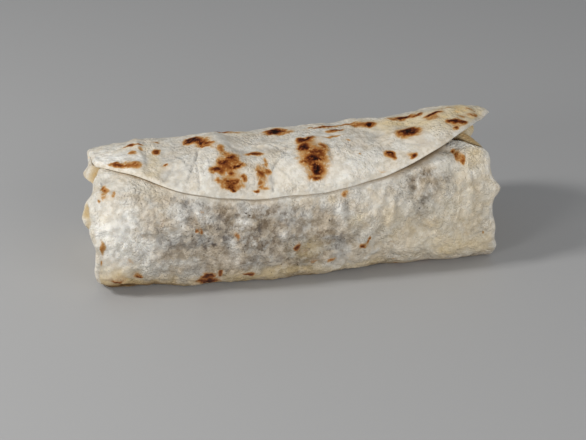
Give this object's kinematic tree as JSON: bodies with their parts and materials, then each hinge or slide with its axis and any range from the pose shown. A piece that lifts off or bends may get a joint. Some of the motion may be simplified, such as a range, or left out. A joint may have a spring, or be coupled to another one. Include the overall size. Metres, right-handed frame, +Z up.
{
  "type": "burrito",
  "caption": "Whole burrito: a toasted flour tortilla rolled round its filling, sides folded in, with a loose round-edged flap lying down the front.",
  "frame": {"origin": "centre of the bounding box's bottom face, on the flat underside that the burrito lies on", "axes": "+X along the roll, towards the end where the flap's point stands out; +Y towards the back, away from the side that the flap lies down; +Z up"},
  "size_m": [0.2138, 0.0828, 0.0717],
  "materials": {
    "tortilla": null
  },
  "bodies": {
    "root": {"tortilla_wrap": "tortilla"}
  },
  "joints": []
}
